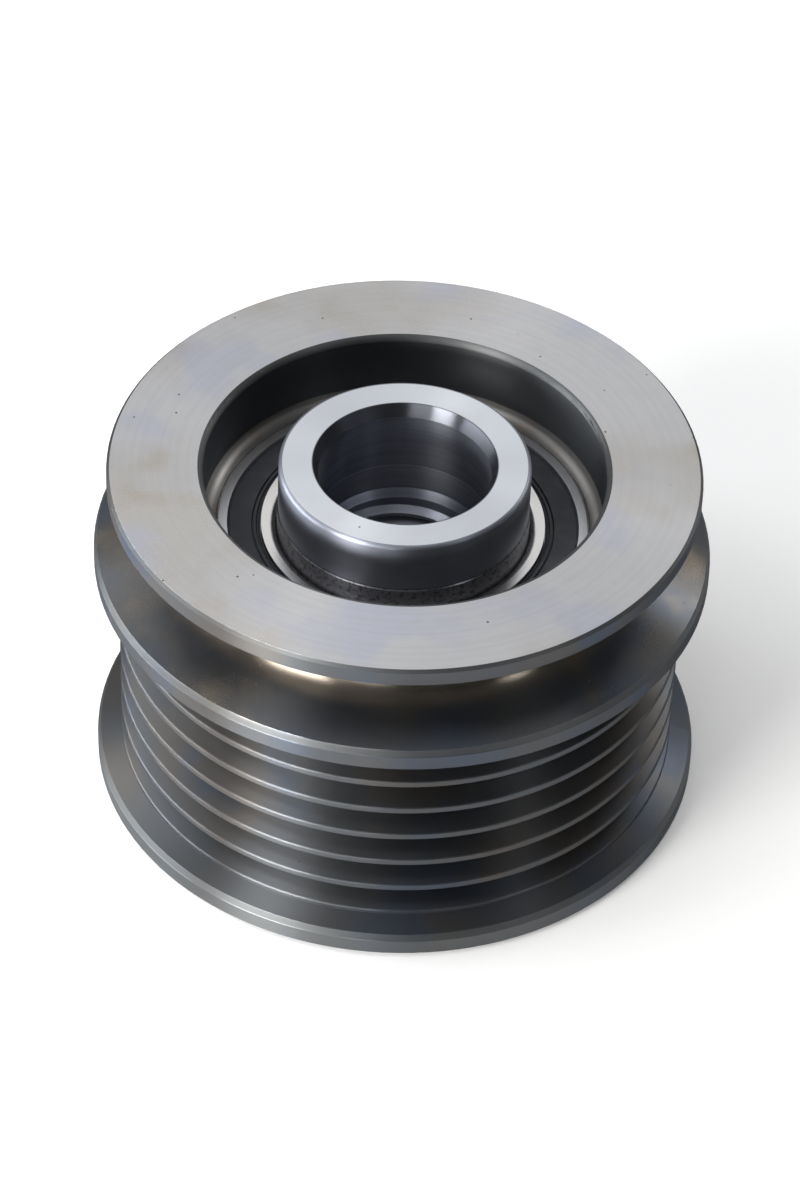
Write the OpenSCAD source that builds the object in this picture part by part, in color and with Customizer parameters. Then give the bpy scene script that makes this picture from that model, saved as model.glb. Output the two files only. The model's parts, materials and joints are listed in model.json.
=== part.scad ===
// Freewheel pulley for an alternator: a steel rim with one V groove and a ribbed belt
// track turns on two sealed ball bearings round a threaded shaft sleeve, and a roller
// clutch between the bearings lets the rim drive the sleeve in one direction only.
// The origin is on the axis at the front face of the rim. +Z points to the alternator.

/* [Rim] */
// Height of the rim from its front face to its rear face
rim_height = 37.5; // [37:0.1:40]
// Diameter of the thin rear flange
rear_flange_d = 58.4; // [57:0.1:60]
// Diameter of the middle and front flanges
flange_d = 61.1; // [60:0.1:63]
// Chamfer at the edges of the rear and front faces
face_chamfer = 0.3; // [0.1:0.05:0.5]
// Radial width of the chamfer on the rear side of the middle and front flanges
flange_chamfer = 0.35; // [0.2:0.05:0.5]

/* [V groove] */
// Distance of the V groove's middle from the rear face
vee_from_rear = 5.35; // [5.1:0.05:5.5]
// Included angle of the V groove
vee_angle = 38; // [32:1:40]
// Diameter at the bottom of the V groove
vee_root_d = 47.4; // [46.5:0.1:49]
// Radius of the round bottom of the V groove
vee_root_r = 2.4; // [2:0.1:2.6]

/* [Ribbed belt track] */
// Number of belt grooves
groove_count = 6; // [4:1:6]
// Distance from one groove to the next
groove_pitch = 3.56; // [3.4:0.02:3.6]
// Included angle of a groove
groove_angle = 40; // [38:1:42]
// Distance of the first groove's middle from the front face
groove_from_front = 5.48; // [5.2:0.02:5.8]
// Diameter over the rib tips
rib_tip_d = 56.26; // [55.8:0.1:57]
// Diameter at the bottom of the grooves
groove_root_d = 50.9; // [50.5:0.1:52]
// Width of a rib at its tip
rib_tip_w = 0.7; // [0.6:0.05:0.9]
// Radius on the edges of the rib tips
rib_tip_r = 0.22; // [0.1:0.02:0.26]
// Step between the outer grooves and the walls of the flanges
flange_step = 0.45; // [0.35:0.05:0.6]

/* [Well and cap recess] */
// Radial step from the bearing seat out to the well and to the front cap recess
well_step = 1.3; // [1.1:0.1:2]
// Radius at the mouth of the well
well_mouth_r = 0.5; // [0.2:0.1:0.7]
// Depth from the rear face to the rear bearing
well_depth = 7.3; // [6.5:0.1:7.8]
// Radius that leads a bearing into its seat
seat_lead_r = 1; // [0.5:0.1:1.1]
// Height of the seat's rounded shoulder above the bearing's face
seat_lead_rise = 0.7; // [0.5:0.1:1]
// Depth of the groove that the front cap snaps into
cap_groove_depth = 0.35; // [0.2:0.05:0.6]
// Width of the groove that the front cap snaps into
cap_groove_w = 0.6; // [0.4:0.1:0.7]

/* [Shaft sleeve] */
// Radial step from the bearing seat down to the nose that stands in the well
nose_step = 0.1; // [0.05:0.05:0.4]
// Length of the nose
nose_length = 5.5; // [4.5:0.1:6]
// Height of the nose above the rear face
nose_proud = 0.35; // [0:0.05:1]
// Radius at the edge of the nose
nose_edge_r = 0.4; // [0.2:0.05:0.6]
// Distance of the sleeve's front end inside the front face
sleeve_inset = 1.7; // [1.6:0.1:2]
// Diameter of the bore that centres the sleeve on the shaft
pilot_d = 17; // [16.8:0.1:17.4]
// Depth of the pilot bore from the nose
pilot_depth = 10.6; // [9.5:0.1:11.5]
// Radial width of the lead into the pilot bore
pilot_lead_w = 0.55; // [0.3:0.05:0.8]
// Length of the lead into the pilot bore
pilot_lead_length = 1.35; // [0.8:0.05:1.6]
// Nominal diameter of the shaft's thread
thread_d = 16; // [15.6:0.1:16.4]
// Length of the cone between the pilot bore and the thread
thread_lead_length = 0.9; // [0.5:0.1:1.2]

/* [Tool socket] */
// Number of teeth in the socket for the fitting tool
socket_teeth = 33; // [30:1:36]
// Diameter inside the teeth
socket_tip_d = 17.2; // [16.9:0.1:17.6]
// Diameter at the bottom of the tooth spaces
socket_root_d = 20; // [19.4:0.1:20.4]
// Share of a tooth's pitch that is flat at its tip and at its root
socket_flat_share = 0.18; // [0.12:0.02:0.24]
// Depth of the toothed length
socket_depth = 9; // [8:0.5:10]
// Width of the relief groove behind the teeth
socket_relief_w = 1.8; // [1.2:0.1:2.4]

/* [Ball bearings] */
// Outer diameter of the bearings and of the clutch race
bearing_d = 37; // [36.6:0.1:37.4]
// Height of a bearing from its bore to its outside, which sets the sleeve's diameter
bearing_section = 6; // [5.8:0.1:6.2]
// Width of a bearing
bearing_w = 7; // [6.8:0.1:7.1]
// Diameter of a ball
ball_d = 3.5; // [3.2:0.1:3.6]
// Number of balls in a bearing
ball_count = 15; // [12:1:16]
// Ratio of the groove's radius to the ball's diameter
race_ratio = 0.52; // [0.515:0.005:0.54]
// Height of a ring's shoulder beside the ball, as a share of the ball's diameter
shoulder_share = 0.19; // [0.15:0.01:0.22]
// Corner radius of the outer ring
outer_corner_r = 0.25; // [0.1:0.05:0.35]
// Corner radius of the inner ring
inner_corner_r = 0.7; // [0.4:0.05:0.8]
// Radial width of the inner ring's bright face
inner_face_w = 0.84; // [0.7:0.02:0.95]
// Radial width of the outer ring's face
outer_face_w = 1.1; // [0.95:0.05:1.2]

/* [Bearing seals] */
// Depth of the seals under the faces of the rings
seal_inset = 0.35; // [0.2:0.05:0.45]
// Thickness of the rubber with its steel core
seal_thickness = 0.75; // [0.65:0.05:0.85]
// Thickness of the steel core
seal_core_thickness = 0.3; // [0.2:0.05:0.35]
// Depth of the groove in the outer ring that holds the seal
seal_groove_depth = 0.3; // [0.2:0.05:0.4]
// Width of a lip at the seal's inner edge
seal_lip_w = 0.22; // [0.16:0.02:0.26]
// Depth of the grooves between the lips
seal_lip_depth = 0.25; // [0.15:0.05:0.3]
// Gap between the lip and the inner ring
seal_gap = 0.07; // [0.05:0.01:0.1]

/* [Ball cages] */
// Radial thickness of a ball cage
cage_wall = 1.2; // [0.9:0.1:1.4]
// Clearance round a ball in its pocket
ball_pocket_gap = 0.12; // [0.08:0.02:0.16]
// Thickness of the cage behind the balls
cage_back = 0.35; // [0.25:0.05:0.4]
// Height of the cage's claws past the middle of the balls
cage_claw = 0.8; // [0.5:0.1:1]

/* [Roller clutch] */
// Width of the clutch between the bearings
clutch_w = 13.4; // [12.8:0.1:13.6]
// Wall of the clutch's outer race
race_wall = 1.6; // [1.4:0.1:1.8]
// Number of rollers
roller_count = 12; // [10:1:12]
// Diameter of a roller
roller_d = 3; // [2.8:0.1:3]
// Length of a roller
roller_length = 9; // [7:0.5:9]
// Chamfer at the ends of a roller
roller_chamfer = 0.25; // [0.1:0.05:0.4]
// Angle between a roller and the foot of its ramp when it grips
wedge_angle = 8; // [7:0.5:8.5]
// Angle that a roller moves back to let go
release_angle = 1.2; // [0.8:0.1:1.3]
// Length of the ramp behind its foot
ramp_back = 2.2; // [2:0.1:2.3]
// Gap between the tips of the cam ring and the race
cam_tip_gap = 2.25; // [2.2:0.05:2.4]

/* [Clutch cage and springs] */
// Radial thickness of the clutch cage
clutch_cage_wall = 1.8; // [1.5:0.1:1.85]
// Angle between a roller's side and the cage bar in front of it
bar_lead_angle = 0.8; // [0.5:0.1:1]
// Angle that a cage bar takes up
bar_angle = 8.6; // [8.2:0.1:8.8]
// Angle that the key on a cage bar takes up
key_angle = 1.8; // [1.4:0.1:2]
// Thickness of the spring strip
spring_strip = 0.18; // [0.12:0.02:0.2]
// Length of a straight leg of the spring
spring_leg = 1.1; // [0.8:0.1:1.2]
// Length of a spring along the roller
spring_length = 6; // [4:0.5:7]

/* [Fits] */
// Gap at a pressed seat
press_gap = 0.01; // [0.005:0.005:0.02]
// Running gap of a ball in its grooves
ball_gap = 0.02; // [0.01:0.01:0.03]
// Running gap of a roller between the race and its ramp
roller_gap = 0.03; // [0.02:0.01:0.04]
// Gap at the ends of parts that lie against each other along the axis
end_gap = 0.1; // [0.05:0.05:0.15]
// Gap at the ends of a roller and round a loose part in its pocket
pocket_gap = 0.15; // [0.1:0.05:0.2]
// Gap between the clutch cage and the race
cage_gap = 0.2; // [0.15:0.05:0.3]

/* [Hidden] */
$fn = 128;
small_fn = 32;
overlap = 0.1;
arc_steps = 4;

// Levels along the axis, from the rear face to the front
nose_z = rim_height + nose_proud;
rear_bearing_top = rim_height - well_depth;
rear_bearing_mid = rear_bearing_top - bearing_w / 2;
clutch_top = rear_bearing_top - bearing_w;
clutch_mid = clutch_top - clutch_w / 2;
front_bearing_top = clutch_top - clutch_w;
front_bearing_mid = front_bearing_top - bearing_w / 2;
front_bearing_bottom = front_bearing_top - bearing_w;

// Radii of the seats
seat_r = bearing_d / 2;
well_r = seat_r + well_step;
sleeve_r = seat_r - bearing_section;
flange_r = flange_d / 2;
rear_flange_r = rear_flange_d / 2;
cut_r = flange_r + overlap;

// Belt track
tip_r = rib_tip_d / 2;
root_r = groove_root_d / 2;
groove_slope = tan(groove_angle / 2);
groove_half_w = (groove_pitch - rib_tip_w) / 2;
root_half_w = groove_half_w - (tip_r - root_r) * groove_slope;
last_groove_z = groove_from_front + (groove_count - 1) * groove_pitch;
middle_wall_z = last_groove_z + groove_half_w + flange_step;
front_wall_z = groove_from_front - groove_half_w - flange_step;
function wall_rise(r) = (r - tip_r) * groove_slope;

// V groove
vee_z = rim_height - vee_from_rear;
vee_slope = tan(vee_angle / 2);
vee_centre_r = vee_root_d / 2 + vee_root_r;
vee_half_at_centre = vee_root_r / cos(vee_angle / 2);
function vee_half(r) = vee_half_at_centre + (r - vee_centre_r) * vee_slope;

// Bearings
pitch_r = (seat_r + sleeve_r) / 2;
ball_r = ball_d / 2;
race_r = ball_d * race_ratio;
outer_race_centre_r = pitch_r + ball_r + ball_gap - race_r;
inner_race_centre_r = pitch_r - ball_r - ball_gap + race_r;
outer_shoulder_r = pitch_r + ball_r - ball_d * shoulder_share;
inner_shoulder_r = pitch_r - ball_r + ball_d * shoulder_share;
seal_seat_r = seat_r - outer_face_w;
lip_seat_r = sleeve_r + inner_corner_r + inner_face_w;
seal_top = bearing_w / 2 - seal_inset;
seal_bottom = seal_top - seal_thickness;
seal_room = seal_bottom - end_gap;

// Clutch
race_inner_r = seat_r - race_wall;
roller_r = roller_d / 2;
roller_path_r = race_inner_r - roller_r - roller_gap;
ramp_height = roller_path_r * cos(wedge_angle) - roller_r - roller_gap;
station_angle = 360 / roller_count;
clutch_cage_outer_r = race_inner_r - cage_gap;
clutch_cage_inner_r = clutch_cage_outer_r - clutch_cage_wall;
roller_half_angle = asin((roller_r + pocket_gap) / roller_path_r);
bar_start = wedge_angle + roller_half_angle + bar_lead_angle;
bar_end = bar_start + bar_angle;
pocket_start = bar_end - station_angle;
ramp_back_angle = atan(ramp_back / ramp_height);
key_inner_r = ramp_height / cos(ramp_back_angle) + pocket_gap;
pocket_length = roller_length + 2 * pocket_gap;
cage_length = clutch_w - 2 * (end_gap + pocket_gap);

// The spring folds twice and ends just behind the released roller
released_angle = wedge_angle - release_angle - pocket_start;
spring_end = roller_path_r * sin(released_angle) - roller_r - roller_gap;
spring_fold_r = (spring_end - pocket_gap - spring_strip) / 4;

function arc_points(centre, r, from, to) = [
    for (i = [0:arc_steps])
        let (a = from + (to - from) * i / arc_steps)
        [centre[0] + r * cos(a), centre[1] + r * sin(a)]
];

// Cuts a square corner at a point back to a round edge. The signs point out of the part.
module round_corner(at, r, side_r, side_z) {
    difference() {
        translate([at[0] - (side_r > 0 ? r : overlap), at[1] - (side_z > 0 ? r : overlap)])
            square(r + overlap);
        translate([at[0] - side_r * r, at[1] - side_z * r]) circle(r);
    }
}

// Half section of the V groove: two sloping walls and a round bottom
module vee_section() {
    tangent_r = vee_centre_r - vee_root_r * sin(vee_angle / 2);
    tangent_half = vee_root_r * cos(vee_angle / 2);
    outside_half = vee_half(cut_r);
    polygon([
        [tangent_r, vee_z - tangent_half],
        [cut_r, vee_z - outside_half],
        [cut_r, vee_z + outside_half],
        [tangent_r, vee_z + tangent_half]
    ]);
    translate([vee_centre_r, vee_z]) circle(vee_root_r, $fn = small_fn * 2);
}

// Points of one rib groove from its rear edge to its front edge, with rounded rib tips
function groove_points(z) =
    let (
        half_angle = groove_angle / 2,
        shift = rib_tip_r * tan((90 - half_angle) / 2),
        centre_r = tip_r - rib_tip_r,
        centre_half = groove_half_w + shift
    )
    concat(
        arc_points([centre_r, z + centre_half], rib_tip_r, 0, half_angle - 90),
        [[root_r, z + root_half_w], [root_r, z - root_half_w]],
        arc_points([centre_r, z - centre_half], rib_tip_r, 90 - half_angle, 0)
    );

// Half section of the cut for the belt track, from the middle flange to the front flange
module track_section() {
    polygon(concat(
        [[cut_r, middle_wall_z + wall_rise(cut_r)], [tip_r, middle_wall_z]],
        [for (i = [groove_count - 1:-1:0])
            for (p = groove_points(groove_from_front + i * groove_pitch)) p],
        [[tip_r, front_wall_z], [cut_r, front_wall_z - wall_rise(cut_r)]]
    ));
}

// Chamfer at the rear edge of a flange, which starts on the flange's wall at height z
module flange_chamfer_section(z) {
    polygon([
        [flange_r - flange_chamfer, z],
        [cut_r, z - 2 * (flange_chamfer + overlap)],
        [cut_r, z]
    ]);
}

// The turned blank: one step at the V groove, and a chamfer at both faces
module rim_blank_section() {
    polygon([
        [seat_r, rim_height],
        [rear_flange_r - face_chamfer, rim_height],
        [rear_flange_r, rim_height - face_chamfer],
        [rear_flange_r, vee_z],
        [flange_r, vee_z],
        [flange_r, 2 * face_chamfer],
        [flange_r - 2 * face_chamfer, 0],
        [seat_r, 0]
    ]);
}

module rim_outside_section() {
    chamfer_r = flange_r - flange_chamfer;
    difference() {
        rim_blank_section();
        vee_section();
        track_section();
        flange_chamfer_section(vee_z - vee_half(chamfer_r));
        flange_chamfer_section(front_wall_z - wall_rise(chamfer_r));
    }
}

// The rear well, the seat for both bearings and the clutch, and the front cap recess
module rim_inside_section() {
    rear_ledge = rear_bearing_top + seat_lead_rise;
    front_ledge = front_bearing_bottom - seat_lead_rise;
    translate([0, front_ledge - overlap])
        square([seat_r, rear_ledge - front_ledge + 2 * overlap]);
    translate([0, rear_ledge]) square([well_r, rim_height - rear_ledge + overlap]);
    translate([0, -overlap]) square([well_r, front_ledge + overlap]);
    translate([0, front_ledge - cap_groove_w])
        square([well_r + cap_groove_depth, cap_groove_w]);
    round_corner([well_r, rim_height], well_mouth_r, -1, 1);
    round_corner([seat_r, rear_ledge], seat_lead_r, -1, 1);
    round_corner([seat_r, front_ledge], seat_lead_r, -1, -1);
    polygon([
        [well_r - overlap, -overlap],
        [well_r + face_chamfer + overlap, -overlap],
        [well_r - overlap, face_chamfer + overlap]
    ]);
}

module pulley_rim() {
    color("silver") rotate_extrude() difference() {
        rim_outside_section();
        rim_inside_section();
    }
}

// Points of the toothed socket, four to a tooth
function socket_points() = [
    for (i = [0:socket_teeth - 1], k = [0:3])
        let (
            pitch = 360 / socket_teeth,
            flat = pitch * socket_flat_share,
            a = i * pitch + [0, flat, pitch / 2, pitch / 2 + flat][k],
            r = (k < 2 ? socket_root_d : socket_tip_d) / 2
        )
        [r * cos(a), r * sin(a)]
];

module sleeve_outside_section() {
    nose_r = sleeve_r - nose_step;
    nose_foot_z = nose_z - nose_length;
    difference() {
        polygon([
            [0, nose_z],
            [nose_r, nose_z],
            [nose_r, nose_foot_z],
            [sleeve_r, nose_foot_z - nose_step],
            [sleeve_r, sleeve_inset + face_chamfer],
            [sleeve_r - face_chamfer, sleeve_inset],
            [0, sleeve_inset]
        ]);
        round_corner([nose_r, nose_z], nose_edge_r, 1, 1);
    }
}

// Pilot bore, cone, thread bore and the relief groove behind the socket
module sleeve_bore_section() {
    pilot_r = pilot_d / 2;
    thread_r = thread_d / 2;
    pilot_end_z = nose_z - pilot_depth;
    relief_z = sleeve_inset + socket_depth;
    relief_r = socket_root_d / 2 + press_gap;
    polygon([
        [0, nose_z + overlap],
        [pilot_r + pilot_lead_w * (1 + overlap / pilot_lead_length), nose_z + overlap],
        [pilot_r, nose_z - pilot_lead_length],
        [pilot_r, pilot_end_z],
        [thread_r, pilot_end_z - thread_lead_length],
        [thread_r, relief_z + socket_relief_w + relief_r - thread_r],
        [relief_r, relief_z + socket_relief_w],
        [relief_r, relief_z],
        [0, relief_z]
    ]);
}

module shaft_sleeve() {
    color("gainsboro") difference() {
        rotate_extrude() sleeve_outside_section();
        rotate_extrude() sleeve_bore_section();
        translate([0, 0, sleeve_inset - overlap])
            linear_extrude(socket_depth + 2 * overlap) polygon(socket_points());
        mouth_r = socket_root_d / 2 + face_chamfer;
        mouth_h = (socket_root_d - socket_tip_d) / 2 + face_chamfer;
        translate([0, 0, sleeve_inset - overlap])
            cylinder(h = mouth_h / 2, r1 = mouth_r + 2 * overlap, r2 = mouth_r + 2 * overlap - mouth_h);
    }
}

// Outer ring about its own middle: ball groove, and a stepped groove at each seal
module outer_ring_section() {
    half_w = bearing_w / 2 - end_gap / 2;
    outside_r = seat_r - press_gap;
    groove_top = seal_top - seal_lip_depth / 2;
    difference() {
        translate([outer_shoulder_r, -half_w]) square([outside_r - outer_shoulder_r, 2 * half_w]);
        translate([outer_race_centre_r, 0]) circle(race_r, $fn = small_fn * 2);
        for (side = [-1, 1]) {
            round_corner([outside_r, side * half_w], outer_corner_r, 1, side);
            mirror([0, side < 0 ? 1 : 0]) {
                translate([0, seal_bottom]) square([seal_seat_r, half_w]);
                translate([0, seal_bottom])
                    square([seal_seat_r + seal_groove_depth, groove_top - seal_bottom]);
            }
        }
    }
}

// Inner ring about its own middle: large bore corners, ball groove, lip seats
module inner_ring_section() {
    half_w = bearing_w / 2 - end_gap / 2;
    inside_r = sleeve_r + press_gap;
    difference() {
        translate([inside_r, -half_w]) square([inner_shoulder_r - inside_r, 2 * half_w]);
        translate([inner_race_centre_r, 0]) circle(race_r, $fn = small_fn * 2);
        for (side = [-1, 1]) {
            round_corner([inside_r, side * half_w], inner_corner_r, -1, side);
            mirror([0, side < 0 ? 1 : 0])
                translate([lip_seat_r, seal_room]) square(half_w);
        }
    }
}

// Rubber seal of the +Z side about the bearing's middle: bead, disc and grooved lips
module seal_section() {
    bead_r = seal_seat_r + seal_groove_depth - press_gap;
    bead_top = seal_top - seal_lip_depth / 2 - press_gap;
    lip_r = lip_seat_r + seal_gap;
    disc_r = lip_r + 4 * seal_lip_w;
    floor_z = seal_top - seal_lip_depth;
    polygon([
        [bead_r, seal_bottom + press_gap],
        [bead_r, bead_top],
        [seal_seat_r - press_gap, bead_top],
        [seal_seat_r - press_gap - seal_lip_depth, seal_top],
        [disc_r, seal_top],
        [disc_r - seal_lip_w / 2, floor_z],
        [disc_r - seal_lip_w, floor_z],
        [disc_r - seal_lip_w, seal_top - press_gap],
        [disc_r - 2 * seal_lip_w, seal_top - press_gap],
        [disc_r - 2.5 * seal_lip_w, floor_z],
        [disc_r - 3 * seal_lip_w, floor_z],
        [lip_r + seal_lip_w / 2, seal_top - seal_lip_depth / 2],
        [lip_r, seal_top - seal_lip_depth / 2],
        [lip_r, seal_bottom],
        [disc_r, seal_bottom],
        [disc_r, seal_bottom + seal_core_thickness],
        [seal_seat_r - seal_lip_w, seal_bottom + seal_core_thickness],
        [seal_seat_r - seal_lip_w, seal_bottom + press_gap]
    ]);
}

module seal_core_section() {
    inside_r = lip_seat_r + seal_gap + 4 * seal_lip_w + press_gap;
    outside_r = seal_seat_r - seal_lip_w - press_gap;
    translate([inside_r, seal_bottom]) square([outside_r - inside_r, seal_core_thickness]);
}

module ball_ring() {
    for (i = [0:ball_count - 1])
        rotate(360 * i / ball_count) translate([pitch_r, 0, 0]) sphere(ball_r, $fn = small_fn * 2);
}

// Snap cage: a ring behind the balls with round pockets and claws between them
module ball_cage() {
    back_z = ball_r + ball_pocket_gap + cage_back;
    difference() {
        translate([0, 0, -back_z]) difference() {
            cylinder(h = back_z + cage_claw, r = pitch_r + cage_wall / 2);
            translate([0, 0, -overlap])
                cylinder(h = back_z + cage_claw + 2 * overlap, r = pitch_r - cage_wall / 2);
        }
        for (i = [0:ball_count - 1])
            rotate(360 * i / ball_count) translate([pitch_r, 0, 0])
                sphere(ball_r + ball_pocket_gap, $fn = small_fn * 2);
    }
}

module rear_bearing_outer_ring() {
    color("lightsteelblue") translate([0, 0, rear_bearing_mid]) rotate_extrude() outer_ring_section();
}

module rear_bearing_inner_ring() {
    color("white") translate([0, 0, rear_bearing_mid]) rotate_extrude() inner_ring_section();
}

module rear_bearing_balls() {
    color("silver") translate([0, 0, rear_bearing_mid]) ball_ring();
}

module rear_bearing_cage() {
    color("burlywood") translate([0, 0, rear_bearing_mid]) ball_cage();
}

module rear_bearing_rear_seal() {
    color("darkslategray") translate([0, 0, rear_bearing_mid]) rotate_extrude() seal_section();
}

module rear_bearing_rear_seal_core() {
    color("gray") translate([0, 0, rear_bearing_mid]) rotate_extrude() seal_core_section();
}

module rear_bearing_clutch_seal() {
    color("darkslategray") translate([0, 0, rear_bearing_mid]) mirror([0, 0, 1])
        rotate_extrude() seal_section();
}

module rear_bearing_clutch_seal_core() {
    color("gray") translate([0, 0, rear_bearing_mid]) mirror([0, 0, 1])
        rotate_extrude() seal_core_section();
}

module front_bearing_outer_ring() {
    color("lightsteelblue") translate([0, 0, front_bearing_mid]) rotate_extrude() outer_ring_section();
}

module front_bearing_inner_ring() {
    color("white") translate([0, 0, front_bearing_mid]) rotate_extrude() inner_ring_section();
}

module front_bearing_balls() {
    color("silver") translate([0, 0, front_bearing_mid]) ball_ring();
}

module front_bearing_cage() {
    color("burlywood") translate([0, 0, front_bearing_mid]) ball_cage();
}

module front_bearing_front_seal() {
    color("darkslategray") translate([0, 0, front_bearing_mid]) mirror([0, 0, 1])
        rotate_extrude() seal_section();
}

module front_bearing_front_seal_core() {
    color("gray") translate([0, 0, front_bearing_mid]) mirror([0, 0, 1])
        rotate_extrude() seal_core_section();
}

module front_bearing_clutch_seal() {
    color("darkslategray") translate([0, 0, front_bearing_mid]) rotate_extrude() seal_section();
}

module front_bearing_clutch_seal_core() {
    color("gray") translate([0, 0, front_bearing_mid]) rotate_extrude() seal_core_section();
}

module clutch_outer_race() {
    height = clutch_w - end_gap;
    color("slategray") translate([0, 0, clutch_mid]) rotate_extrude() difference() {
        translate([race_inner_r, -height / 2])
            square([race_wall - press_gap, height]);
        for (side = [-1, 1])
            round_corner([seat_r - press_gap, side * height / 2], outer_corner_r, 1, side);
    }
}

// Ratchet-shaped ring: each roller has a flat ramp that rises towards the driving side
module clutch_cam_ring() {
    height = clutch_w - end_gap;
    color("lightgray") translate([0, 0, clutch_mid - height / 2]) difference() {
        cylinder(h = height, r = race_inner_r - cam_tip_gap);
        translate([0, 0, -overlap]) cylinder(h = height + 2 * overlap, r = sleeve_r + press_gap);
        for (i = [0:roller_count - 1])
            rotate(station_angle * i) translate([ramp_height, -ramp_back, -overlap])
                cube([2 * roller_r, ramp_back + roller_path_r / 2, height + 2 * overlap]);
    }
}

// A wedge of the given angles that reaches from the axis past the race
module wedge(from, to, height) {
    reach = 2 * race_inner_r;
    middle = (from + to) / 2;
    linear_extrude(height) polygon([
        [0, 0],
        [reach * cos(from), reach * sin(from)],
        [reach * cos(middle), reach * sin(middle)],
        [reach * cos(to), reach * sin(to)]
    ]);
}

// Roller cage: two end rings joined by bars, each with a key behind a step of the cam ring
module clutch_cage() {
    color("tan") translate([0, 0, clutch_mid]) {
        difference() {
            translate([0, 0, -cage_length / 2]) cylinder(h = cage_length, r = clutch_cage_outer_r);
            translate([0, 0, -cage_length / 2 - overlap])
                cylinder(h = cage_length + 2 * overlap, r = clutch_cage_inner_r);
            for (i = [0:roller_count - 1])
                rotate(station_angle * i) translate([0, 0, -pocket_length / 2])
                    wedge(pocket_start, bar_start, pocket_length);
        }
        for (i = [0:roller_count - 1])
            rotate(station_angle * i) intersection() {
                translate([0, 0, -pocket_length / 2])
                    wedge(bar_end - key_angle, bar_end, pocket_length);
                difference() {
                    cylinder(h = pocket_length, r = clutch_cage_inner_r + overlap, center = true);
                    cylinder(h = pocket_length + 2 * overlap, r = key_inner_r, center = true);
                }
            }
    }
}

module roller() {
    half_length = roller_length / 2;
    rotate_extrude($fn = small_fn * 2) polygon([
        [0, half_length],
        [roller_r - roller_chamfer / 2, half_length],
        [roller_r, half_length - roller_chamfer],
        [roller_r, roller_chamfer - half_length],
        [roller_r - roller_chamfer / 2, -half_length],
        [0, -half_length]
    ]);
}

module clutch_rollers() {
    color("silver") translate([0, 0, clutch_mid])
        for (i = [0:roller_count - 1])
            rotate(station_angle * i + wedge_angle) translate([roller_path_r, 0, 0]) roller();
}

// One fold of the spring strip: half a ring
module spring_fold(side) {
    cut = spring_fold_r + spring_strip;
    difference() {
        circle(spring_fold_r + spring_strip / 2, $fn = small_fn);
        circle(spring_fold_r - spring_strip / 2, $fn = small_fn);
        translate([side > 0 ? -cut : 0, -cut]) square([cut, 2 * cut]);
    }
}

// Folded leaf spring: three legs joined by two folds, drawn with its seat leg at y = 0
module spring_section() {
    for (leg = [0:2])
        translate([-spring_leg / 2, 2 * spring_fold_r * leg]) square([spring_leg, spring_strip]);
    translate([spring_leg / 2, spring_fold_r + spring_strip / 2]) spring_fold(1);
    translate([-spring_leg / 2, 3 * spring_fold_r + spring_strip / 2]) spring_fold(-1);
}

module clutch_springs() {
    spring_r = (key_inner_r + race_inner_r) / 2;
    color("lightgoldenrodyellow") translate([0, 0, clutch_mid - spring_length / 2])
        for (i = [0:roller_count - 1])
            rotate(station_angle * i + pocket_start)
                translate([spring_r, pocket_gap, 0])
                    linear_extrude(spring_length) spring_section();
}

pulley_rim();
shaft_sleeve();
rear_bearing_outer_ring();
rear_bearing_inner_ring();
rear_bearing_balls();
rear_bearing_cage();
rear_bearing_rear_seal();
rear_bearing_rear_seal_core();
rear_bearing_clutch_seal();
rear_bearing_clutch_seal_core();
front_bearing_outer_ring();
front_bearing_inner_ring();
front_bearing_balls();
front_bearing_cage();
front_bearing_front_seal();
front_bearing_front_seal_core();
front_bearing_clutch_seal();
front_bearing_clutch_seal_core();
clutch_outer_race();
clutch_cam_ring();
clutch_cage();
clutch_rollers();
clutch_springs();
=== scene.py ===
import json
import math

import bpy
from mathutils import Matrix, Vector


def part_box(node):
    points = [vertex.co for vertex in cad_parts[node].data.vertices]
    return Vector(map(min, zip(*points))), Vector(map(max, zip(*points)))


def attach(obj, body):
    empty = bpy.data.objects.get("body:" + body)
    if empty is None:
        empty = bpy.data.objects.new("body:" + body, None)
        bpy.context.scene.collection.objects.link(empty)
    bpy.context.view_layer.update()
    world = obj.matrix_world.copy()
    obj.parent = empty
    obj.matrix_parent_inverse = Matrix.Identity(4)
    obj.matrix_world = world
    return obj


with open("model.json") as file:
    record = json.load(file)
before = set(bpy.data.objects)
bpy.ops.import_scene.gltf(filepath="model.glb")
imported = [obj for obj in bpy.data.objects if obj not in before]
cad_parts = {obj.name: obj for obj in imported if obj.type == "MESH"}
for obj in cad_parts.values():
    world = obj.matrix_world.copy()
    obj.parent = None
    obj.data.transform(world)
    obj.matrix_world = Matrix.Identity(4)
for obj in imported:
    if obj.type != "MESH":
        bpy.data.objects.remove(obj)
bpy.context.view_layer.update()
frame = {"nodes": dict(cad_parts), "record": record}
nodes = frame["nodes"]
mounts = {mount["name"]: mount for mount in frame["record"]["mounts"]}
MM = 0.001


# Shaft sleeve: hardened steel, turned, then ground bright on its two ends and on the
# bearing seats. The thread and the tool socket are cut before it is hardened, so the bore
# keeps its turning rings. The bore and the outer wall are painted darker than the ground
# ends, partly for their unground finish and partly as painted shade, and the bore's lead-in
# is painted darker still as painted shade. The sleeve screws on the alternator's shaft.
def place(tree, kind, settings=None, **inputs):
    """Adds a node. An input is a value or another node's output; i0 is the first input."""
    node = tree.nodes.new("ShaderNode" + kind)
    for name, value in (settings or {}).items():
        setattr(node, name, value)
    for name, value in inputs.items():
        numbered = name[0] == "i" and name[1:].isdigit()
        socket = node.inputs[int(name[1:]) if numbered else name.replace("_", " ")]
        if isinstance(value, bpy.types.NodeSocket):
            tree.links.new(value, socket)
        else:
            socket.default_value = value
    return node


def math_node(tree, operation, first, second=0.0, clamp=False):
    settings = {"operation": operation, "use_clamp": clamp}
    return place(tree, "Math", settings, i0=first, i1=second).outputs[0]


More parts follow.
